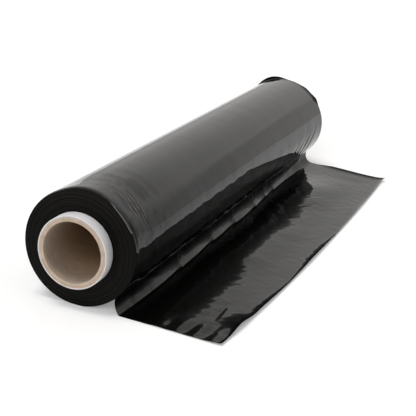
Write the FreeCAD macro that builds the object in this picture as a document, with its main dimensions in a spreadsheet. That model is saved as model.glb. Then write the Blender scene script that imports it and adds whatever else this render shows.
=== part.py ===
"""A roll of stretch wrap film lying on its side, wound on a paper core, with its loose end on the floor.

The roll's axis runs along +Y through the origin, which is the centre of the core's bore at mid-length.
+Z is up, and the film's loose end runs out to +X. All sizes are in millimetres.
"""
import FreeCAD
import Part
import Sketcher
import math
import os

# Driving sizes: alias, value, what it is
SIZES = [
    ("film_width", 500.0, "width of the film along the roll"),
    ("bore_radius", 25.0, "inside radius of the core"),
    ("core_wall", 3.9, "wall of brown board in the core"),
    ("wrap_ply", 1.0, "white paper ply around the board"),
    ("core_overhang", 10.5, "core that stands out past each end of the film"),
    ("wound_radius", 47.9, "outside radius of the wound film"),
    ("edge_rise", 0.8, "how far the wound edges stand up above the middle"),
    ("edge_reach", 7.0, "length over which a wound edge rises"),
    ("flat_press", 0.2, "how far the roll's own weight flattens its underside"),
    ("ring_count", 10.0, "rings that the turns show on each end"),
    ("ring_depth", 0.6, "how far a ring is set in"),
    ("sheet_gauge", 0.4, "thickness of the loose film"),
    ("loose_start", 52.0, "angle above level where the last turn comes loose"),
    ("loose_end", 43.0, "angle below level where it leaves the roll"),
    ("loose_lift", 3.0, "how far it billows off the roll"),
    ("loose_crest", 4.0, "angle above level where it billows most"),
    ("leave_lift", 1.6, "how far off the roll it still is where it leaves"),
    ("edge_overlap", 2.2, "how far the loose film stands out past the front end"),
    ("laid_length", 97.0, "film laid on the floor, from its foot to its cut end"),
    ("corner_cut", 11.0, "how much shorter the front corner is"),
    ("front_splay", 8.4, "how far the front corner leans out along the roll"),
    ("back_splay", 23.5, "how far the back corner leans in along the roll"),
    ("wave_height", 1.6, "height of the waves in the laid film"),
    ("lip_height", 3.0, "height that the cut end curls up"),
]

# Grid of the laid film: steps out from the roll and steps along it
LAID_STEPS = 9
WIDTH_STEPS = 12


def make_sheet(doc):
    """The spreadsheet that holds the driving sizes."""
    sheet = doc.addObject("Spreadsheet::Sheet", "Sizes")
    for row, (alias, value, note) in enumerate(SIZES, start=1):
        sheet.set("A%d" % row, note)
        sheet.set("B%d" % row, str(value))
        sheet.setAlias("B%d" % row, alias)
    doc.recompute()
    return sheet


def origin_plane(body, role):
    """One of a body's own origin planes."""
    return next(plane for plane in body.Origin.OriginFeatures if plane.Role == role)


def profile_sketch(body, name, role, corners):
    """A closed outline whose corners sit at the given pairs of sheet expressions; '0' puts one on the level axis."""
    sketch = body.newObject("Sketcher::SketchObject", name)
    sketch.AttachmentSupport = (origin_plane(body, role), [""])
    sketch.MapMode = "FlatFace"
    spots = [FreeCAD.Vector(value_of(body, x), value_of(body, y), 0) for x, y in corners]
    for here, there in zip(spots, spots[1:] + spots[:1]):
        sketch.addGeometry(Part.LineSegment(here, there))
    for index in range(len(corners)):
        sketch.addConstraint(Sketcher.Constraint("Coincident", index - 1 if index else len(corners) - 1, 2, index, 1))
    for index, pair in enumerate(corners):
        for kind, text in zip(("DistanceX", "DistanceY"), pair):
            if text == "0":
                sketch.addConstraint(Sketcher.Constraint("PointOnObject", index, 1, -1))
                continue
            number = sketch.addConstraint(Sketcher.Constraint(kind, -1, 1, index, 1, value_of(body, text)))
            sketch.setExpression("Constraints[%d]" % number, text)
    return sketch


def value_of(owner, text):
    """The number that a sheet expression stands for."""
    return float(owner.evalExpression(text))


def tube(doc, name, inner, outer):
    """A plain tube along the roll's axis, as long as the film plus both overhangs."""
    body = doc.addObject("PartDesign::Body", name)
    body.Label = name
    half = "Sizes.film_width / 2 + Sizes.core_overhang"
    sketch = profile_sketch(body, name + "_section", "XY_Plane",
                            [(inner, "0"), (outer, "0"), (outer, half), (inner, half)])
    turn_and_mirror(doc, body, name, sketch)
    return body


def turn_and_mirror(doc, body, name, sketch):
    """Turns half a section about the roll's axis and mirrors it about mid-length."""
    turned = body.newObject("PartDesign::Revolution", name + "_half")
    turned.Profile = sketch
    turned.ReferenceAxis = (sketch, ["V_Axis"])
    turned.Angle = 360.0
    doc.recompute()
    mirrored = body.newObject("PartDesign::Mirrored", name + "_whole")
    mirrored.Originals = [turned]
    mirrored.MirrorPlane = (origin_plane(body, "XZ_Plane"), [""])
    mirrored.Refine = True
    body.Tip = mirrored
    doc.recompute()
    return mirrored


def wound_turns(doc, size):
    """The wound film: ringed ends, edges that stand a little proud, and a flat spot underneath."""
    body = doc.addObject("PartDesign::Body", "wound_turns")
    inner = "Sizes.bore_radius + Sizes.core_wall + Sizes.wrap_ply"
    rim = "(Sizes.wound_radius + Sizes.edge_rise)"
    end = "Sizes.film_width / 2"
    count = int(size["ring_count"])
    corners = [(inner, "0"), ("Sizes.wound_radius", "0"), ("Sizes.wound_radius", end + " - Sizes.edge_reach")]
    for ring in range(count, -1, -1):
        share = ring / count
        depth = 0.0 if ring == count else abs(math.sin(2.1 * ring + 0.5))
        corners.append(("(%s) + %.4f * (%s - (%s))" % (inner, share, rim, inner),
                        "%s - %.4f * Sizes.ring_depth" % (end, depth)))
    sketch = profile_sketch(body, "turns_section", "XY_Plane", corners)
    whole = turn_and_mirror(doc, body, "turns", sketch)
    full_volume = whole.Shape.Volume
    cut_flat(body)
    doc.recompute()
    if body.Shape.Volume >= full_volume:
        raise RuntimeError("the flat spot was not cut")
    return body


def cut_flat(body):
    """Presses the underside flat: everything below the floor plane is taken off."""
    level = "Sizes.flat_press - Sizes.wound_radius"
    deep = "-2 * Sizes.wound_radius"
    wide = "Sizes.wound_radius"
    sketch = profile_sketch(body, "flat_section", "XZ_Plane",
                            [("-1 * " + wide, level), (wide, level), (wide, deep), ("-1 * " + wide, deep)])
    pocket = body.newObject("PartDesign::Pocket", "flat_spot")
    pocket.Profile = sketch
    pocket.Type = "ThroughAll"
    pocket.Midplane = True
    body.Tip = pocket


def polar(size, lift, degrees):
    """A point lift outside the wound radius, at an angle above level, as (out, up)."""
    reach = size["wound_radius"] + lift
    angle = math.radians(degrees)
    return reach * math.cos(angle), reach * math.sin(angle)


def circle_through(first, second, third):
    """Centre and radius of the circle through three points."""
    circle = Part.Circle(*(FreeCAD.Vector(out, 0, up) for out, up in (first, second, third)))
    return (circle.Center.x, circle.Center.z), circle.Radius


def film_path(size):
    """The last turn's two tangent arcs: it billows off the roll, then swings out and down to the floor.

    Each arc is (centre, radius, start angle, end angle) of the film's upper skin; the second ends level.
    """
    root = polar(size, -1.8 * size["sheet_gauge"], size["loose_start"])
    middle = polar(size, size["loose_lift"], size["loose_crest"])
    leave = polar(size, size["leave_lift"], -size["loose_end"])
    centre, radius = circle_through(root, middle, leave)
    start = math.atan2(root[1] - centre[1], root[0] - centre[0])
    end = math.atan2(leave[1] - centre[1], leave[0] - centre[0])
    drop = leave[1] - (floor_level(size) + size["sheet_gauge"])
    swing = drop / (1 - math.sin(end))
    foot = (leave[0] + swing * math.cos(end), leave[1] + swing * math.sin(end))
    return (centre, radius, start, end), (foot, swing, end + math.pi, 1.5 * math.pi)


def floor_level(size):
    """Height of the floor that the roll lies on."""
    return size["flat_press"] - size["wound_radius"]


def arc_edge(centre, radius, start, end, along):
    """An arc in the plane at a given place along the roll."""
    spots = []
    for angle in (start, (start + end) / 2, end):
        spots.append(FreeCAD.Vector(centre[0] + radius * math.cos(angle), along,
                                    centre[1] + radius * math.sin(angle)))
    return Part.Arc(*spots).toShape()


def wrapped_film(size):
    """The last turn from where it comes loose to its foot on the floor, the same all along the roll."""
    front, back = edge_places(size, 0.0)
    gauge = size["sheet_gauge"]
    wrap, swing = film_path(size)
    upper = [arc_edge(*wrap, front), arc_edge(*swing, front)]
    under = [arc_edge(wrap[0], wrap[1] - gauge, *wrap[2:], front),
             arc_edge(swing[0], swing[1] + gauge, *swing[2:], front)]
    root = Part.LineSegment(upper[0].firstVertex(True).Point, under[0].firstVertex(True).Point).toShape()
    foot = Part.LineSegment(upper[1].lastVertex(True).Point, under[1].lastVertex(True).Point).toShape()
    face = Part.Face(Part.Wire(Part.__sortEdges__(upper + under + [root, foot])))
    return face.extrude(FreeCAD.Vector(0, back - front, 0))


def edge_places(size, share):
    """Where the laid film's front and back edges stand along the roll, share of the way from foot to cut end."""
    half = size["film_width"] / 2
    front = -half - size["edge_overlap"] - size["front_splay"] * share
    back = half - 0.3 - size["back_splay"] * share
    return front, back


def laid_lift(size, share, across):
    """Height of the laid film's underside above the floor; across runs from 0 at the front edge to 1 at the back."""
    ripple = 0.5 - 0.5 * math.cos(2 * math.pi * (2.4 * across + 0.7 * share))
    wave = size["wave_height"] * math.sin(math.pi * share) ** 2 * ripple
    curl = size["lip_height"] * share ** 6 * (0.7 + 0.3 * math.cos(2 * math.pi * (1.6 * across + 0.1)))
    return wave + curl


def laid_skin(size, rise):
    """A smooth surface through the laid film's grid of points, raised above its underside."""
    floor = floor_level(size)
    foot = film_path(size)[1][0][0]
    rows = []
    for step in range(LAID_STEPS + 1):
        share = step / LAID_STEPS
        front, back = edge_places(size, share)
        row = []
        for place in range(WIDTH_STEPS + 1):
            across = place / WIDTH_STEPS
            run = size["laid_length"] - size["corner_cut"] * (1 - across) ** 4 - 3.0 * across ** 8
            up = floor + laid_lift(size, share, across) + rise
            row.append(FreeCAD.Vector(foot + run * share, front + (back - front) * across, up))
        rows.append(row)
    surface = Part.BSplineSurface()
    surface.interpolate(rows)
    return surface


def laid_film(size):
    """The film on the floor: two skins the film's thickness apart, closed along their four edges."""
    skins = (laid_skin(size, size["sheet_gauge"]), laid_skin(size, 0.0))
    faces = [surface.toShape() for surface in skins]
    sides = []
    for surface in skins:
        first_u, last_u, first_v, last_v = surface.bounds()
        sides.append((surface.uIso(first_u), surface.uIso(last_u), surface.vIso(first_v), surface.vIso(last_v)))
    for top_edge, low_edge in zip(*sides):
        faces.append(Part.makeRuledSurface(top_edge.toShape(), low_edge.toShape()))
    shell = Part.makeShell(faces)
    shell.sewShape()
    solid = Part.makeSolid(shell if shell.ShapeType == "Shell" else shell.Shells[0])
    if solid.Volume < 0:
        solid.reverse()
    return solid


def loose_film(doc, size):
    """The last turn and its tail: a thin sheet that comes off the roll, drops to the floor and lies out flat."""
    feature = doc.addObject("Part::Feature", "loose_film")
    feature.Shape = wrapped_film(size).fuse(laid_film(size))
    return feature


def join_film(doc, turns, tail):
    """The wound turns and the tail are one length of film, so they are one solid."""
    film = doc.addObject("Part::Fuse", "stretch_film")
    film.Base = turns
    film.Tool = tail
    film.Label = "stretch_film"
    doc.recompute()
    return film


def check(doc, parts):
    """Stops if any feature failed or any part is not one sound solid."""
    for item in doc.Objects:
        if any(word in item.State for word in ("Invalid", "Error")):
            raise RuntimeError("%s failed: %s" % (item.Name, item.State))
    for part in parts:
        shape = part.Shape
        if shape.isNull() or not shape.isValid() or len(shape.Solids) != 1:
            raise RuntimeError("%s is not one sound solid" % part.Label)
        box = shape.BoundBox
        print("%s volume %.1f cm3, X %.2f to %.2f, Y %.2f to %.2f, Z %.2f to %.2f" % (
            part.Label, shape.Volume / 1000, box.XMin, box.XMax, box.YMin, box.YMax, box.ZMin, box.ZMax))


def main():
    doc = FreeCAD.newDocument("stretch_wrap_roll")
    make_sheet(doc)
    size = {alias: float(doc.Sizes.get(alias)) for alias, _, _ in SIZES}
    board = "Sizes.bore_radius + Sizes.core_wall"
    core = tube(doc, "core_tube", "Sizes.bore_radius", board)
    wrap = tube(doc, "core_wrap", board, board + " + Sizes.wrap_ply")
    film = join_film(doc, wound_turns(doc, size), loose_film(doc, size))
    parts = [core, wrap, film]
    check(doc, parts)
    os.makedirs("parts", exist_ok=True)
    for part in parts:
        part.Shape.exportStep("parts/%s.step" % part.Label)


main()
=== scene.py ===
"""Looks of the stretch wrap roll: wound black film, its loose end on the floor, and the paper core.

Lengths are in metres, in the part's own frame: +Y along the roll, +X towards the loose end, +Z up.
Profiles drawn along the film are in millimetres and degrees. Angles are above level, on the +X side.
"""
import math
import bpy
import numpy as np
from mathutils import Matrix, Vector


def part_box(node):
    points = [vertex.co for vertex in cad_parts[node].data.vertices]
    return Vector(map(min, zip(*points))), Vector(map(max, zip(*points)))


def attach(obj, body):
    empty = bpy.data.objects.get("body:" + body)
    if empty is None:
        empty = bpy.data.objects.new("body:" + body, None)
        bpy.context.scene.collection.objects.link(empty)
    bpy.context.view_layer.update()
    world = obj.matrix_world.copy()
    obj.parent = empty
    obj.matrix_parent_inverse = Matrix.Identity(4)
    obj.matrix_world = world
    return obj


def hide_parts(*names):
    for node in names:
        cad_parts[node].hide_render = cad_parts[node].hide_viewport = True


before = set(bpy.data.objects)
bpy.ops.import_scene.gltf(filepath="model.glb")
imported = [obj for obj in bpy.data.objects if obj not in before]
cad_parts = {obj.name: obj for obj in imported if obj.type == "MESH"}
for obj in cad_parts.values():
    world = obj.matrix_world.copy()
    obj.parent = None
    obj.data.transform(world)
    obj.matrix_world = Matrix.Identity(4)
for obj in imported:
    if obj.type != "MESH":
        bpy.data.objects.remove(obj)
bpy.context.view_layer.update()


# Camera: a long lens a little above the roll, looking along it from the front right.
# The frame is square, as the photograph is.
camera_place = (0.36212, -0.92810, 0.30138)
camera_turn, camera_dip, camera_lean = -0.36247, 0.32938, 0.07
camera_data = bpy.data.cameras.new("camera")
camera_data.lens = 91.41
camera_data.sensor_width = 36.0
camera = bpy.data.objects.new("camera", camera_data)
camera.matrix_world = (Matrix.Translation(camera_place)
                       @ Matrix.Rotation(-camera_turn, 4, "Z")
                       @ Matrix.Rotation(math.pi / 2 - camera_dip, 4, "X")
                       @ Matrix.Rotation(camera_lean, 4, "Z"))
bpy.context.scene.collection.objects.link(camera)
bpy.context.scene.camera = camera


# Studio: a white floor that fills the view, and a soft white room, dimmer in front and low at the left.
# One soft lamp stands overhead and one in front, both like a clouded sun, so that the shadow stays close.
# The film mirrors only the room, not the lamps.
def add_node(tree, kind, inputs=None, **settings):
    """Add a node, set its properties, and fill its inputs with values or links."""
    made = tree.nodes.new(kind)
    for key, value in settings.items():
        setattr(made, key, value)
    for key, value in (inputs or {}).items():
        if isinstance(value, bpy.types.NodeSocket):
            tree.links.new(value, made.inputs[key])
        else:
            made.inputs[key].default_value = value
    return made


def maths(tree, operation, first, second, **settings):
    """The result of a Math node on two values or links."""
    made = add_node(tree, "ShaderNodeMath", {0: first, 1: second}, operation=operation, **settings)
    return made.outputs["Value"]


def mapped(tree, value, span=(0.0, 1.0), result=(0.0, 1.0), **settings):
    """A value carried from one span to another, and held between the ends of the second."""
    ends = {"From Min": span[0], "From Max": span[1], "To Min": result[0], "To Max": result[1]}
    return add_node(tree, "ShaderNodeMapRange", {"Value": value, **ends}, **settings).outputs["Result"]


def new_material(name):
    """A material with nodes, given back with its node tree and its main shader."""
    material = bpy.data.materials.new(name)
    material.use_nodes = True
    return material, material.node_tree, material.node_tree.nodes["Principled BSDF"]


def seen_directly(tree, lowest, highest):
    """Highest for what the camera, a reflection or glass sees, and lowest for light that bounces."""
    rays = add_node(tree, "ShaderNodeLightPath").outputs
    mirrored = maths(tree, "ADD", rays["Is Camera Ray"], rays["Is Glossy Ray"])
    seen = maths(tree, "ADD", mirrored, rays["Is Transmission Ray"], use_clamp=True)
    return mapped(tree, seen, result=(lowest, highest))


scene = bpy.context.scene
scene.view_settings.view_transform = "Standard"
floor_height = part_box("stretch_film")[0][2]
bpy.ops.mesh.primitive_plane_add(size=16.0, location=(0, 0, floor_height))
floor = bpy.context.object
floor.name = "floor"
pale_floor, floor_tree, floor_shader = new_material("pale_floor")
floor_shader.inputs["Base Color"].default_value = (0.90, 0.90, 0.90, 1)
floor_shader.inputs["Roughness"].default_value = 0.6
floor_shader.inputs["Specular IOR Level"].default_value = 0.1
floor_shader.inputs["Emission Color"].default_value = (1, 1, 1, 1)
floor_tree.links.new(seen_directly(floor_tree, 0.0, 0.23), floor_shader.inputs["Emission Strength"])
floor.data.materials.append(pale_floor)

world = bpy.data.worlds.new("studio")
scene.world = world
world.use_nodes = True
room = world.node_tree
direction = add_node(room, "ShaderNodeTexCoord").outputs["Generated"]
heading = add_node(room, "ShaderNodeSeparateXYZ", {"Vector": direction}).outputs
sideways = mapped(room, heading["X"], (-0.45, 0.3), (0.62, 0.88))
upward = mapped(room, heading["Z"], (0.0, 0.16), (sideways, 0.97))
onward = mapped(room, heading["Y"], (-0.7, 0.3), (0.45, 1.0), interpolation_type="SMOOTHSTEP")
glow = maths(room, "MULTIPLY", upward, onward)
shown = maths(room, "MULTIPLY", glow, seen_directly(room, 0.5, 1.0))
looked_at = add_node(room, "ShaderNodeLightPath").outputs["Is Camera Ray"]
background = room.nodes["Background"]
background.inputs["Color"].default_value = (1.0, 0.985, 0.965, 1)
room.links.new(maths(room, "MAXIMUM", shown, looked_at), background.inputs["Strength"])

for name, power, spread, turn in (("overhead", 1.15, 26, (6, -14, 0)),
                                  ("front", 1.25, 50, (60, 0, 3))):
    lamp_data = bpy.data.lights.new(name, "SUN")
    lamp_data.angle = math.radians(spread)
    lamp_data.energy = power
    lamp = bpy.data.objects.new(name, lamp_data)
    lamp.rotation_euler = [math.radians(degrees) for degrees in turn]
    lamp.visible_glossy = False
    scene.collection.objects.link(lamp)


# Wound film: every turn as one body, its outer skin smooth and clinging, its ends ringed by the turns' edges.
# Black polyethylene, stretched tight by the winding, so the edges stand a little proud of the middle.
# The outer turns are slack at the front right, and their back edges are flared and ragged.
def grid_mesh(name, points, close_rows, close_columns):
    """A smooth mesh from rows of points, joined end to end where asked."""
    rows, columns = points.shape[:2]
    index = np.arange(rows * columns).reshape(rows, columns)
    if close_rows:
        index = np.vstack([index, index[:1]])
    if close_columns:
        index = np.hstack([index, index[:, :1]])
    quads = np.stack([index[:-1, :-1], index[1:, :-1], index[1:, 1:], index[:-1, 1:]], axis=-1)
    mesh = bpy.data.meshes.new(name)
    mesh.from_pydata(points.reshape(-1, 3).tolist(), [], quads.reshape(-1, 4).tolist())
    mesh.polygons.foreach_set("use_smooth", [True] * len(mesh.polygons))
    mesh.update()
    piece = bpy.data.objects.new(name, mesh)
    scene.collection.objects.link(piece)
    return piece


def ripples(first, second, first_length, second_length, seed, count=36):
    """Random waves over two directions, of about the given wavelengths, with an average height of one."""
    dice = np.random.default_rng(seed)
    total = np.zeros(np.broadcast(first, second).shape)
    for _ in range(count):
        stretch = dice.lognormal(0.0, 0.35, 2)
        lean = dice.choice([-1.0, 1.0])
        phase = dice.uniform(0, 2 * math.pi)
        total += np.cos(2 * math.pi * (first * stretch[0] / first_length
                                       + lean * second * stretch[1] / second_length) + phase)
    return total / math.sqrt(count / 2)


def bump(value, centre, half_width):
    """A smooth hump of height one at the centre, and nothing past its half width."""
    return np.cos(np.clip((value - centre) / half_width, -1, 1) * math.pi / 2) ** 2


def ramp(value, start, end):
    """A straight rise from 0 where the value is at the start to 1 at the end, which may lie either way."""
    return np.clip((value - start) / (end - start), 0, 1)


def eased(share):
    """A share from 0 to 1, made to leave and arrive gently."""
    return share ** 2 * (3 - 2 * share)


def fading(distance, reach, power=1):
    """One at no distance, and less the further away, over the reach; a higher power drops more suddenly."""
    return np.exp(-(distance / reach) ** power)


half_length = 0.2500
wound_radius = 0.0479
bore_of_film = 0.0299
slack_height, slack_reach = 0.0024, 0.16
front_reach, shoulder_reach, back_reach = 0.0170, 0.0008, 0.0024
around, rings, along = 300, 60, 200


def skin_radius(place, angle):
    """Radius of the wound skin at a place along the roll and an angle in degrees."""
    from_front = (place + half_length).clip(0)
    from_back = (half_length - place).clip(0)
    slack = slack_height * fading(from_front, slack_reach)
    slack = slack * eased(ramp(angle, 115, 55)) * eased(ramp(angle, -60, 15))
    front_rise = 0.0006 - 0.0004 * ramp(angle, 95, 115) + 0.0008 * bump(angle, 85, 40)
    shoulder = 0.0006 + 0.0002 * bump(angle, 88, 45)
    flares = 0.0032 * bump(angle, 110, 27) + 0.0022 * bump(angle, 38, 30)
    ragged = np.cos(np.radians(angle * 11 + 40)) + np.cos(np.radians(angle * 19)) * bump(angle, 20, 90)
    back_rise = 0.0003 + flares + 0.0005 * ragged * (0.4 + 0.6 * bump(angle, 10, 80))
    return (wound_radius + slack + front_rise * fading(from_front, front_reach, 2)
            - shoulder * fading(from_front, shoulder_reach) + back_rise * fading(from_back, back_reach, 1.5))


def noise(tree, place, scale, **inputs):
    """Smooth noise from 0 to 1 over a place that is scaled along each axis."""
    scaled = add_node(tree, "ShaderNodeMapping", {"Vector": place, "Scale": scale}).outputs["Vector"]
    return add_node(tree, "ShaderNodeTexNoise", {"Vector": scaled, "Scale": 1.0, **inputs}).outputs["Fac"]


def film_material():
    """Glossy black film: its shine follows a value stored at each point, partly how closely it clings to the
    turn below, with less where air is beneath it, and partly painted shade and painted reflection.

    Faint bands run round the roll, and dabs of trapped air dim the skin near its front end.
    """
    material, tree, shader = new_material("clinging_film")
    shader.inputs["Base Color"].default_value = (0.0027, 0.0026, 0.0024, 1)
    shader.inputs["IOR"].default_value = 1.46
    place = add_node(tree, "ShaderNodeTexCoord").outputs["Object"]
    shine_with_painted_shade = add_node(tree, "ShaderNodeAttribute", attribute_name="shine_with_painted_shade").outputs["Fac"]
    streak = noise(tree, place, (14, 150, 14), Detail=3.0)
    patch = noise(tree, place, (60, 110, 60), Detail=4.0, Roughness=0.6, Distortion=0.6)
    lengthways = add_node(tree, "ShaderNodeSeparateXYZ", {"Vector": place}).outputs["Y"]
    near_front = mapped(tree, lengthways, (-0.165, -0.205))
    trapped_air = maths(tree, "MULTIPLY", mapped(tree, patch, (0.48, 0.56)), near_front)
    # The stored value also carries painted shade and painted reflection: where it is low the film shines less
    # and looks darker.
    shine = mapped(tree, shine_with_painted_shade, (-0.4, 1.0), (0.0, 0.42))
    banded = maths(tree, "MULTIPLY", shine, mapped(tree, streak, (0.3, 0.7), (0.91, 1.09)))
    level = maths(tree, "MULTIPLY", banded, mapped(tree, trapped_air, result=(1.0, 0.62)))
    tree.links.new(level, shader.inputs["Specular IOR Level"])
    haze = mapped(tree, shine_with_painted_shade, (0.3, 1.0), (0.022, 0.062))
    slack_haze = mapped(tree, shine_with_painted_shade, (-0.2, -0.3), (0.0, 0.2))
    tree.links.new(maths(tree, "ADD", haze, slack_haze), shader.inputs["Roughness"])
    return material


def toned(tree, factor, low, high):
    """A colour that goes from one (spot from 0 to 1, colour) stop to another with the factor."""
    tone = add_node(tree, "ShaderNodeValToRGB", {"Fac": factor})
    for stop, (spot, colour) in zip(tone.color_ramp.elements, (low, high)):
        stop.position = spot
        stop.color = (*colour, 1)
    return tone.outputs["Color"]


def multiplied(tree, vector, by):
    """A place or colour times a number or another one, part by part."""
    return add_node(tree, "ShaderNodeVectorMath", {0: vector, 1: by}, operation="MULTIPLY").outputs["Vector"]


def node_group(name, takes, gives):
    """A node group with number inputs and typed outputs, given back with the sockets at its two ends."""
    group = bpy.data.node_groups.new(name, "ShaderNodeTree")
    for socket in takes:
        group.interface.new_socket(socket, in_out="INPUT", socket_type="NodeSocketFloat")
    for socket, kind in gives.items():
        group.interface.new_socket(socket, in_out="OUTPUT", socket_type=kind)
    return group, group.nodes.new("NodeGroupInput").outputs, group.nodes.new("NodeGroupOutput").inputs


def layers_group():
    """Thin layers wound round the axis: how far from it, and a factor from 0 to 1 that varies with that."""
    group, taken, given = node_group("wound_layers", ["Layers per Metre", "Detail"],
                                     {"Radius": "NodeSocketFloat", "Factor": "NodeSocketFloat"})
    place = add_node(group, "ShaderNodeTexCoord").outputs["Object"]
    off_axis = multiplied(group, place, (1, 0, 1))
    radius = add_node(group, "ShaderNodeVectorMath", {0: off_axis}, operation="LENGTH").outputs["Value"]
    varied = add_node(group, "ShaderNodeTexNoise", {"W": radius, "Scale": taken["Layers per Metre"],
                                                    "Detail": taken["Detail"]}, noise_dimensions="1D")
    group.links.new(radius, given["Radius"])
    group.links.new(varied.outputs["Fac"], given["Factor"])
    return group


wound_layers = layers_group()


def layers(tree, per_metre, detail):
    """The outputs of the wound layers' node group, placed in a material."""
    return add_node(tree, "ShaderNodeGroup", {"Layers per Metre": per_metre, "Detail": detail},
                    node_tree=wound_layers).outputs


def edge_material():
    """The turns' edges at the roll's ends: dull, nearly black rings, with a painted sheen that makes them
    paler towards the top.
    """
    material, tree, shader = new_material("film_edges")
    turns = layers(tree, 650.0, 3.0)
    tone = toned(tree, turns["Factor"], (0.42, (0.0012, 0.0011, 0.0009)), (0.72, (0.0078, 0.0072, 0.0062)))
    place = add_node(tree, "ShaderNodeTexCoord").outputs["Object"]
    height = add_node(tree, "ShaderNodeSeparateXYZ", {"Vector": place}).outputs["Z"]
    # Painted sheen: the rings' colour grows paler towards the top, as light from above would make it.
    painted_top_sheen = mapped(tree, height, (0.020, 0.046), (1.0, 1.9))
    tree.links.new(multiplied(tree, tone, painted_top_sheen), shader.inputs["Base Color"])
    shader.inputs["Roughness"].default_value = 0.38
    shader.inputs["Specular IOR Level"].default_value = 0.07
    return material


def set_shine_with_painted_shade(piece, values):
    """Store at each point how much the film shines, partly from how closely it clings and partly as painted
    shade and painted reflection: 1 shines fully, and below 0 it hardly shines.
    """
    layer = piece.data.attributes.new("shine_with_painted_shade", "FLOAT", "POINT")
    layer.data.foreach_set("value", values.ravel())


angles = np.linspace(0, 2 * math.pi, around, endpoint=False)
turn_degrees = np.degrees(angles)
turn_degrees = np.where(turn_degrees > 270, turn_degrees - 360, turn_degrees)
ring_share = np.linspace(0, 1, rings)[:, None]


def end_rings(place):
    """Radii of the rings that close one end of the roll, from the film's bore out to its skin."""
    return bore_of_film + (skin_radius(np.array(place), turn_degrees) - bore_of_film) * ring_share


# At the ends the turns' edges lie back by up to a third of a millimetre, in steps of a few rings each
step_depth, step_grain, step_rings = 0.00030, 0.00006, 3
ring_dice = np.random.default_rng(5)
ring_step = np.interp(np.arange(rings), np.arange(0, rings + step_rings, step_rings),
                      ring_dice.uniform(0, 1, rings // step_rings + 1))
ring_step = step_depth * ring_step[:, None] * (0.35 + 0.65 * bump(turn_degrees, 100, 100))
ring_step = ring_step + step_grain * ring_dice.uniform(0, 1, rings)[:, None]
ring_step[-2:] = 0.0

# The skin's rows lie closer together near both ends
even_place = np.linspace(-1, 1, along)[:, None]
skin_place = half_length * (1.22 * even_place - 0.22 * even_place ** 5)
skin = skin_radius(skin_place, turn_degrees)
skin = skin + 0.000012 * ripples(skin_place, np.zeros(around), 0.035, 1.0, 3)
skin = skin + 0.000006 * ripples(skin_place, np.cos(angles), 0.007, 1.4, 4)
spread_radius = np.concatenate([end_rings(-half_length), skin, end_rings(half_length)[::-1]])
spread_place = np.concatenate([ring_step - half_length, np.broadcast_to(skin_place, skin.shape),
                               half_length - ring_step[::-1]])
skin_off_floor = 0.00005
wound_x = spread_radius * np.cos(angles)
wound_z = np.maximum(spread_radius * np.sin(angles), floor_height + skin_off_floor)
wound_points = np.stack([wound_x, spread_place, wound_z], axis=-1)
wound_film = grid_mesh("wound_film", wound_points, True, True)
flared = np.clip(3 * bump(turn_degrees, 111, 26) + 3 * bump(turn_degrees, 38, 26), 0, 1)
# Painted reflection and shade in the shine: it is lowered from the top round the left side to dim the bright
# reflection along that edge, and set very low on the flared back edges as painted shade.
wound_shine = 1 - 0.5 * ramp(turn_degrees, 76, 90)
wound_shine = wound_shine - 1.3 * flared * ramp(half_length - spread_place, 0.0040, 0.0024)
set_shine_with_painted_shade(wound_film, wound_shine)
clinging_film = film_material()
wound_film.data.materials.append(clinging_film)
wound_film.data.materials.append(edge_material())
row_material = np.ones(len(spread_radius), dtype=int)
row_material[rings - 1:rings + along] = 0
wound_film.data.polygons.foreach_set("material_index", np.repeat(row_material, around).tolist())
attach(wound_film, "root")
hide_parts("stretch_film")


# Loose film: the last turn, which lifts off the roll, drops to the floor in a tight curve and lies out to its
# cut end. One sheet of thin black film, cut square and pulled out by hand, with folds, waves and drawn edges.
wrap_start, wrap_end = 66, -43
wrap_rows, swing_rows, laid_rows = 92, 44, 106
columns = 400
front_start, front_pull, lip_pull, front_splay = -0.2500, 0.0020, 0.0026, 0.0086
back_start, back_draw = 0.2499, 0.0235
cut_reach = 0.1382
above_floor, lowest_above_floor = 0.0002, 0.0001
billow_spots = ((wound_radius - 0.00072, 52), (wound_radius + 0.003, 4), (wound_radius + 0.0016, wrap_end))


def circle_through(spots):
    """Centre and radius of the circle through three (radius, degrees) spots about the roll's axis."""
    (ax, az), (bx, bz), (cx, cz) = [(radius * math.cos(math.radians(degrees)),
                                     radius * math.sin(math.radians(degrees))) for radius, degrees in spots]
    lead = np.array([[bx - ax, bz - az], [cx - bx, cz - bz]])
    half = 0.5 * np.array([bx * bx + bz * bz - ax * ax - az * az, cx * cx + cz * cz - bx * bx - bz * bz])
    centre = np.linalg.solve(lead, half)
    return centre, math.hypot(ax - centre[0], az - centre[1])


def along_roll(spots, place, blur=12):
    """A smooth value along the roll through (millimetres along, value) spots, rounded over the blur."""
    spots = np.array(spots, dtype=float)
    dense = np.arange(-280.0, 261.0)
    straight = np.interp(dense, spots[:, 0], spots[:, 1])
    weights = np.hanning(2 * blur + 3)[1:-1]
    soft = np.convolve(np.pad(straight, blur, mode="edge"), weights / weights.sum(), mode="valid")
    return np.interp(place * 1000, dense, soft)


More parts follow.
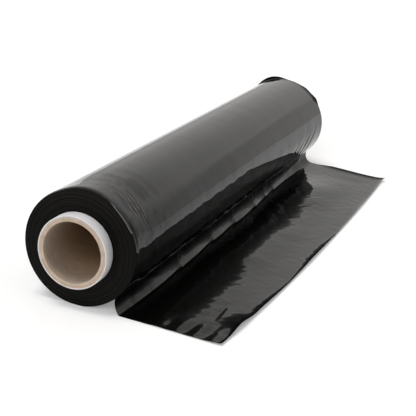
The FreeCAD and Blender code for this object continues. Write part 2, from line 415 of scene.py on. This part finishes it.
# The sheet's rows follow one another down the film, and its columns lie closer together near both edges.
# The lip is the front edge of the last turn, which was pulled a little forward off the roll's end.
across = np.linspace(0, 1, columns)[None, :]
across = across - 0.08 * np.sin(2 * math.pi * across)
wrap_share = np.linspace(0, 1, wrap_rows, endpoint=False)[:, None]
swing_share = np.linspace(0, 1, swing_rows, endpoint=False)[:, None]
laid_share = np.linspace(0, 1, laid_rows)[:, None] ** 1.08
laid_so_far = np.concatenate([np.zeros((wrap_rows + swing_rows, 1)), laid_share])
row_degrees = wrap_start + (wrap_end - wrap_start) * wrap_share
lip = ramp(row_degrees, 62, 52) * ramp(row_degrees, 26.5, 28.5)
front_edge = front_start - front_pull - front_splay * laid_so_far
front_edge[:wrap_rows] = front_start - front_pull * ramp(row_degrees, 62, 32) - lip_pull * lip
back_edge = back_start - back_draw * laid_so_far
place = front_edge + (back_edge - front_edge) * across
wrap_place, swing_place, laid_place = np.split(place, [wrap_rows, wrap_rows + swing_rows])
foot_place = swing_place[-1:]

# On the roll it lies on the skin below, and then billows off it on one arc: it follows what is further out
leave_degrees = along_roll(((-252, -46.5), (-240, -45), (-225, -43), (250, -43)), foot_place, 5)
wrap_degrees = wrap_start + (leave_degrees - wrap_start) * wrap_share
wrap_angle = np.radians(wrap_degrees)
arc_centre, arc_radius = circle_through(billow_spots)
towards = np.cos(wrap_angle) * arc_centre[0] + np.sin(wrap_angle) * arc_centre[1]
arc_reach = towards + np.sqrt(arc_radius ** 2 - (arc_centre @ arc_centre) + towards ** 2)
snug = along_roll(((-252, 2.0), (-236, 1.6), (-222, 0), (250, 0)), wrap_place, 8)
arc_reach = arc_reach - 0.001 * snug * bump(wrap_degrees, -38, 32)
skin_reach = skin_radius(wrap_place, wrap_degrees)
rest_gap = 0.00008 * ramp(wrap_degrees, wrap_start, wrap_start - 12) - 0.00003
gap = arc_reach - skin_reach
gap_softness = 0.0003
wrap_reach = skin_reach + rest_gap + 0.5 * (gap + np.sqrt(gap ** 2 + gap_softness ** 2)) * (wrap_degrees < 60)
edge_distance = wrap_place - front_edge[:wrap_rows]
flare = (0.0006 * ramp(edge_distance, 0.0030, 0) - 0.0003 * bump(edge_distance, 0.0042, 0.0026)) * lip
fuller = along_roll(((-250, 1.1), (-200, 1.9), (-30, 2.0), (60, 0.9), (110, 0.2), (250, 0.0)), wrap_place)
wrap_reach = wrap_reach + flare + 0.001 * fuller * bump(wrap_degrees, 22, 26)
wrap_x = wrap_reach * np.cos(wrap_angle)
wrap_z = wrap_reach * np.sin(wrap_angle)
leave_x, leave_z = wrap_x[-1:], wrap_z[-1:]
leave_angle = np.arctan2(leave_z - arc_centre[1], leave_x - arc_centre[0])

# It then turns under on a tight arc, and meets the floor on a flatter one, in a crease with small kinks
kinks = (-0.136, -0.060, -0.002, 0.057, 0.094, 0.122)
kink_rise, kink_release, kink_depth, kink_tilt = 0.036, 0.003, 1.9, 22
before_kink = sum(ramp(foot_place, kink - kink_rise, kink) * ramp(foot_place, kink + kink_release, kink)
                  for kink in kinks)
crease_x = along_roll(((-252, 37.8), (-225, 39.2), (-198, 40.1), (-150, 40.8), (-66, 39.8), (-14, 40.2),
                       (40, 41.2), (92, 39.4), (112, 38.4), (160, 37.6), (195, 39.0), (220, 41.5),
                       (250, 43.0)), foot_place)
crease_x = 0.001 * (crease_x - kink_depth * before_kink)
foot_degrees = along_roll(((-252, 40), (-225, 43), (40, 45), (112, 41), (160, 44), (190, 60), (215, 76),
                           (250, 80)), foot_place)
apron_top = math.radians(-10)
apron_foot = np.radians(foot_degrees - kink_tilt * before_kink ** 1.3)
sweep = apron_top - apron_foot
drop = leave_z - floor_height - above_floor
reach = crease_x - leave_x
turn_drop = np.sin(apron_top) - np.sin(leave_angle)
turn_reach = np.cos(leave_angle) - np.cos(apron_top)
apron_drop = (np.sin(apron_top) - np.sin(apron_foot)) / sweep
apron_reach = (np.cos(apron_foot) - np.cos(apron_top)) / sweep
turn_radius = (drop * apron_reach - reach * apron_drop) / (turn_drop * apron_reach - turn_reach * apron_drop)
apron_radius = (drop - turn_radius * turn_drop) / apron_drop / sweep
turn_rows_share = 0.25
turn_angle = leave_angle + (apron_top - leave_angle) * ramp(swing_share, 0, turn_rows_share)
apron_share = ramp(swing_share, turn_rows_share, 1)
apron_angle = apron_top - sweep * apron_share
swing_x = (leave_x + turn_radius * (np.cos(leave_angle) - np.cos(turn_angle))
           + apron_radius * (np.cos(apron_angle) - np.cos(apron_top)))
swing_z = (leave_z - turn_radius * (np.sin(turn_angle) - np.sin(leave_angle))
           - apron_radius * (np.sin(apron_top) - np.sin(apron_angle)))

# On the floor it keeps one low crest along the roll, waves near the front, and edges that lift and curl
front_short, back_short, corner_pull, corner_share = 0.011, 0.003, 0.0045, 0.007
cut = (cut_reach - front_short * (1 - across) ** 4 - back_short * across ** 8
       + corner_pull * fading(1 - across, corner_share))
laid_x = crease_x + (cut - crease_x) * laid_share
out = laid_x * 1000
end_distance = (cut - laid_x) * 1000
back_distance = (back_edge[-laid_rows:] - laid_place) * 1000
front_distance = (laid_place - front_edge[-laid_rows:]) * 1000
crest_out = 73
crest_height = along_roll(((-255, 0.3), (-236, 1.4), (-222, 1.3), (-200, 1.1), (-150, 0.9), (-130, 0.7),
                           (-106, 0.9), (-80, 2.4), (0, 2.3), (25, 1.5), (75, 1.5), (95, 2.2), (110, 3.1),
                           (150, 2.9), (185, 1.0), (205, 0.3), (240, 0.2)), laid_place)
crest = crest_height * np.where(out < crest_out, bump(out, crest_out, 33), bump(out, crest_out, 43))
front_wave = 0.5 * np.cos(2 * math.pi * (out - 87.5) / 16.5) * bump(out, 90, 48)
front_wave = front_wave * bump(laid_place, -0.252, 0.030) * (0.3 + 0.7 * ramp(front_distance, 0, 7))
end_curl = along_roll(((-262, 0.4), (-245, 0.8), (-230, 3.0), (-205, 1.2), (-180, 1.7), (-150, 0.9),
                       (-120, 0.3), (-85, 1.0), (-60, 1.8), (-20, 1.4), (20, 0.3), (80, 0.5), (110, 1.1),
                       (160, 0.4), (215, 1.2)), laid_place)
end_lift = (end_curl * fading(end_distance, 4.0) + 0.9 * fading(end_distance, 16.0, 2)
            + 0.45 * fading(end_distance, 1.3)
            + 1.1 * fading(end_distance, 15.0, 2) * bump(laid_place, -0.222, 0.026))
hem_lift = (1.7 * fading(back_distance, 2.2) * ramp(out, 52, 72)
            + 1.6 * fading(end_distance, 3.0) * fading(back_distance, 4.0)
            + 0.3 * fading(front_distance, 3.0) * ramp(out, 60, 90))
swell = 0.05 * bump(out, 95, 45) * (1 + ripples(laid_place, laid_x, 0.05, 0.10, 31))
laid_z = floor_height + above_floor + 0.001 * (crest + front_wave + end_lift + hem_lift + swell)
film_x = np.concatenate([wrap_x, swing_x, laid_x])
film_z = np.concatenate([wrap_z, swing_z, laid_z])
loose_points = np.stack([film_x, place, film_z], axis=-1)

# Folds and ripples push the sheet out along its own normals, each where it lies down the film
normal = np.cross(np.gradient(loose_points, axis=1), np.gradient(loose_points, axis=0))
normal /= np.linalg.norm(normal, axis=-1, keepdims=True)
middle_steps = np.linalg.norm(np.diff(loose_points[:, columns // 2], axis=0), axis=1)
film_run = np.concatenate([[0], np.cumsum(middle_steps)])[:, None]
down_film = film_run * 1000


def fold(start, end, width, height):
    """A narrow ridge between two spots, each given as millimetres down the film and along the roll."""
    step = np.array(end, dtype=float) - start
    length = np.hypot(*step)
    down, over = down_film - start[0], place * 1000 - start[1]
    travel = (down * step[0] + over * step[1]) / length
    off = (over * step[0] - down * step[1]) / length
    return height * fading(off, width, 2) * bump(travel, length / 2, length * 0.6)


folds = sum(fold(*spots_and_size) for spots_and_size in (
    ((94, -118), (110, -132), 1.3, 0.4),
    ((96, -122), (109, -137), 1.1, -0.3),
    ((94, -44), (110, -57), 1.3, 0.4),
    ((98, -48), (108, -62), 1.1, -0.3),
    ((86, -240), (112, -150), 2.4, 0.25),
    ((80, 20), (112, -30), 2.2, 0.3),
    ((70, 150), (108, 95), 2.2, 0.35),
    ((66, 190), (104, 140), 1.8, 0.35),
    ((52, 224), (98, 190), 1.6, 0.9),
    ((54, 206), (92, 168), 1.6, 0.9),
    ((58, 184), (88, 150), 1.5, 0.8),
    ((60, 160), (100, 122), 1.7, 1.0),
    ((62, 128), (96, 96), 1.6, 0.9),
    ((64, 96), (92, 58), 1.6, 0.8),
    ((66, 52), (96, 18), 1.6, 0.8),
    ((68, -70), (98, -112), 1.6, 0.8),
    ((74, -96), (98, -128), 1.5, 0.7),
    ((60, 215), (100, 178), 1.6, 0.3),
    ((84, 90), (110, 60), 1.8, 0.3),
    ((184, -224), (180, -188), 2.2, 0.30),
    ((170, 100), (152, 78), 2.0, 0.25),
    ((168, 128), (148, 108), 1.8, 0.25),
    ((96, 0), (113, -22), 1.4, 0.25)))
off_roll = ramp(down_film, 22, 52)
on_floor = ramp(down_film, 108, 116)
fine = 0.000007 * ripples(place, film_run, 0.009, 0.07, 21)
broad = 0.00004 * ripples(place, film_run, 0.030, 0.09, 23) * (1 + bump(down_film, 85, 30))
crumple = 0.000012 * ripples(place, film_run, 0.014, 0.020, 24)
crinkle = fading(ripples(place, film_run, 0.030, 0.034, 26), 0.3, 2) * bump(place, 0.12, 0.24)
crumple = crumple + 0.00003 * crinkle
strain = 0.00016 * ripples(place, film_run, 0.0038, 0.020, 25) * bump(place, -0.226, 0.016)
strain = strain * bump(down_film, 22, 20)
hanging_push = off_roll * (1 - on_floor) * (fine + broad)
floor_push = on_floor * (0.09 * fine + 1.3 * crumple)
push = hanging_push + floor_push + strain + 0.001 * folds
loose_points += normal * push[..., None]
loose_points[..., 2] = np.maximum(loose_points[..., 2], floor_height + lowest_above_floor)
loose_film = grid_mesh("loose_film", loose_points, False, False)

# Its shine is partly painted: high where the film lies stretched over the turn below and on the floor past
# the roll's mirrored image, and lowered between them as painted shade and painted dark reflection; a painted
# highlight runs along the lip
edge_degrees = along_roll(((-250, 34), (-150, 36), (-55, 38.5), (50, 39.5), (224, 41.5)), wrap_place)
edge_softness = along_roll(((-250, 18), (-120, 12), (-60, 5), (120, 4), (250, 14)), wrap_place)
painted_bright_side = eased(ramp(wrap_degrees, edge_degrees - edge_softness / 2, edge_degrees + edge_softness / 2))
wrap_shine = 0.38 + 0.62 * painted_bright_side - 0.28 * ramp(wrap_degrees, 12, 4) + 0.3 * bump(wrap_degrees, -25, 11)
# Painted highlight: the shine is raised to full along the lip's edge.
painted_lip_highlight = lip * ramp(edge_distance, 0.00288, 0.00108)
wrap_shine = wrap_shine + (1.0 - wrap_shine) * painted_lip_highlight
# Painted shade: the shine is low where the film turns under beneath the roll, and lower towards the back of
# the foot.
foot_shine = 0.85 - 0.5 * ramp(swing_place, 0.16, 0.20)
swing_shine = foot_shine * apron_share ** 2.1 - 0.28 * (1 - apron_share) ** 2
# Painted dark reflection: on the floor the shine is lowered out to this reach, where the film mirrors the
# black roll, and lowered further close to the roll and near the back end.
painted_dark_reach = along_roll(((-255, 66), (-235, 70), (-222, 82), (-200, 88.5), (-150, 90), (-125, 95), (-100, 86),
                         (-75, 82), (0, 82), (50, 88), (100, 80), (125, 74), (150, 67), (175, 58), (200, 44),
                         (250, 40)), laid_place)
laid_shine = -0.15 + 0.48 * ramp(out, painted_dark_reach - 4, painted_dark_reach + 4) - 0.1 * ramp(out, 56, 48)
laid_shine = laid_shine - 0.04 * ramp(laid_place, 0.11, 0.14) - 0.12 * ramp(laid_place, 0.2, 0.215)
set_shine_with_painted_shade(loose_film, np.concatenate([wrap_shine, swing_shine, laid_shine]))
loose_film.data.materials.append(clinging_film)
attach(loose_film, "root")
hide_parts("stretch_film")


# Core tube: spiral-wound brown board that the film is wound on, cut square at both ends.
# Its cut rim shows the plies as fine rings, and its bore shows fibres, with painted shade that darkens and
# warms it inwards.
core_bore = 0.0250
board_radius = 0.0289
core_half_length = 0.2605
core_around = 160


def tube_points(inner, outer, steps):
    """Rows of points round a closed tube wall: front rim, outside, back rim, and back through the inside."""
    bevel = 0.00015
    half = core_half_length
    run = np.linspace(-half + bevel, half - bevel, steps)
    radius = np.concatenate([[inner + bevel, outer - bevel], np.full(steps, outer),
                             [outer - bevel, inner + bevel], np.full(steps, inner)])
    place = np.concatenate([[-half, -half], run, [half, half], run[::-1]])
    turn = np.linspace(0, 2 * math.pi, core_around, endpoint=False)
    return np.stack([np.outer(radius, np.cos(turn)), np.outer(place, np.ones(core_around)),
                     np.outer(radius, np.sin(turn))], axis=-1)


def fibre_group():
    """Short paper fibres: a factor from 0 to 1, and a normal roughened by them."""
    group, taken, given = node_group("paper_fibres", ["Strength"],
                                     {"Factor": "NodeSocketFloat", "Normal": "NodeSocketVector"})
    place = add_node(group, "ShaderNodeTexCoord").outputs["Object"]
    fibre = noise(group, place, (160, 900, 160), Detail=4.0)
    rise = add_node(group, "ShaderNodeBump", {"Height": fibre, "Strength": taken["Strength"],
                                              "Distance": 0.0002})
    group.links.new(fibre, given["Factor"])
    group.links.new(rise.outputs["Normal"], given["Normal"])
    return group


paper_fibres = fibre_group()


def board_material():
    """Brown board: plies and fibres in two browns, with painted shade that dims the bore and darkens and
    warms it further in.
    """
    material, tree, shader = new_material("brown_board")
    plies = layers(tree, 1500.0, 2.0)
    fibres = add_node(tree, "ShaderNodeGroup", {"Strength": 0.5}, node_tree=paper_fibres).outputs
    mixed = maths(tree, "MULTIPLY", maths(tree, "ADD", plies["Factor"], fibres["Factor"]), 0.5)
    tone = toned(tree, mixed, (0.35, (0.44, 0.335, 0.25)), (0.65, (0.64, 0.52, 0.415)))
    # Painted shade: the bore's surface is dimmed below the rim's colour.
    bore_shade_dimmed = multiplied(tree, tone, mapped(tree, plies["Radius"], (0.0251, 0.0256), (0.74, 1.0)))
    place = add_node(tree, "ShaderNodeTexCoord").outputs["Object"]
    either_end = add_node(tree, "ShaderNodeVectorMath", {0: place}, operation="ABSOLUTE").outputs["Vector"]
    lengthways = add_node(tree, "ShaderNodeSeparateXYZ", {"Vector": either_end}).outputs["Y"]
    # Painted shade: further into the bore from either end, the colour darkens and turns warm.
    painted_inner_shade = mapped(tree, lengthways, (0.252, 0.205))
    shade_warm_tint = toned(tree, painted_inner_shade, (0.0, (1.0, 1.0, 1.0)), (1.0, (0.82, 0.67, 0.50)))
    tree.links.new(multiplied(tree, bore_shade_dimmed, shade_warm_tint), shader.inputs["Base Color"])
    tree.links.new(fibres["Normal"], shader.inputs["Normal"])
    shader.inputs["Roughness"].default_value = 0.85
    shader.inputs["Specular IOR Level"].default_value = 0.2
    return material


core_board = grid_mesh("core_board", tube_points(core_bore, board_radius, 90), True, True)
core_board.data.materials.append(board_material())
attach(core_board, "root")
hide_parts("core_tube")


# Core wrap: the outer ply of white paper, glued round the board.
# A calendered paper, a little grey, with faint fibres.
def paper_material():
    """White paper with faint fibres."""
    material, tree, shader = new_material("white_paper")
    fibres = add_node(tree, "ShaderNodeGroup", {"Strength": 0.2}, node_tree=paper_fibres).outputs
    tone = toned(tree, fibres["Factor"], (0.3, (0.68, 0.68, 0.69)), (0.7, (0.78, 0.775, 0.78)))
    tree.links.new(tone, shader.inputs["Base Color"])
    tree.links.new(fibres["Normal"], shader.inputs["Normal"])
    shader.inputs["Roughness"].default_value = 0.6
    shader.inputs["Specular IOR Level"].default_value = 0.25
    return material


core_paper = grid_mesh("core_paper", tube_points(board_radius, bore_of_film, 60), True, True)
core_paper.data.materials.append(paper_material())
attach(core_paper, "root")
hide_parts("core_wrap")
